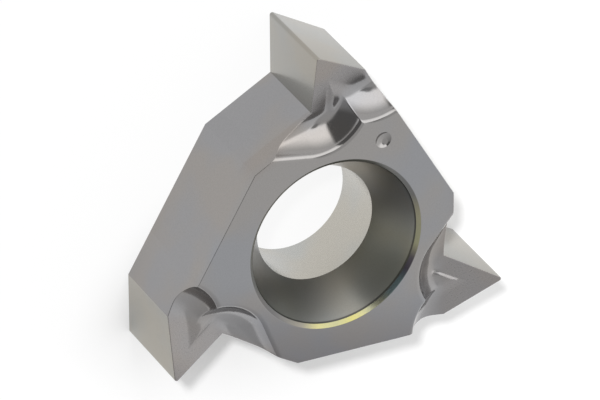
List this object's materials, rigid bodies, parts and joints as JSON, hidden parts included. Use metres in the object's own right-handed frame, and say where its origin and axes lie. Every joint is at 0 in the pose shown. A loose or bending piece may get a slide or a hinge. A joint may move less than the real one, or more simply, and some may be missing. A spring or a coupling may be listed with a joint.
{
  "type": "threading insert",
  "caption": "Flat triangular cutting insert with a countersunk screw hole and a pointed thread tooth and pressed chip groove at each corner.",
  "frame": {"origin": "where the screw hole's axis meets the back face, on which the insert lies flat", "axes": "+Z out of the front face, the one with the chip grooves; +X along the first tooth's centre line, towards its point; -Y out of that tooth's long side"},
  "size_m": [0.0091, 0.0085, 0.003],
  "materials": {
    "coated_carbide": "cemented tungsten carbide with a thin dull grey coating"
  },
  "bodies": {
    "root": {"insert_body": "coated_carbide"}
  },
  "joints": []
}
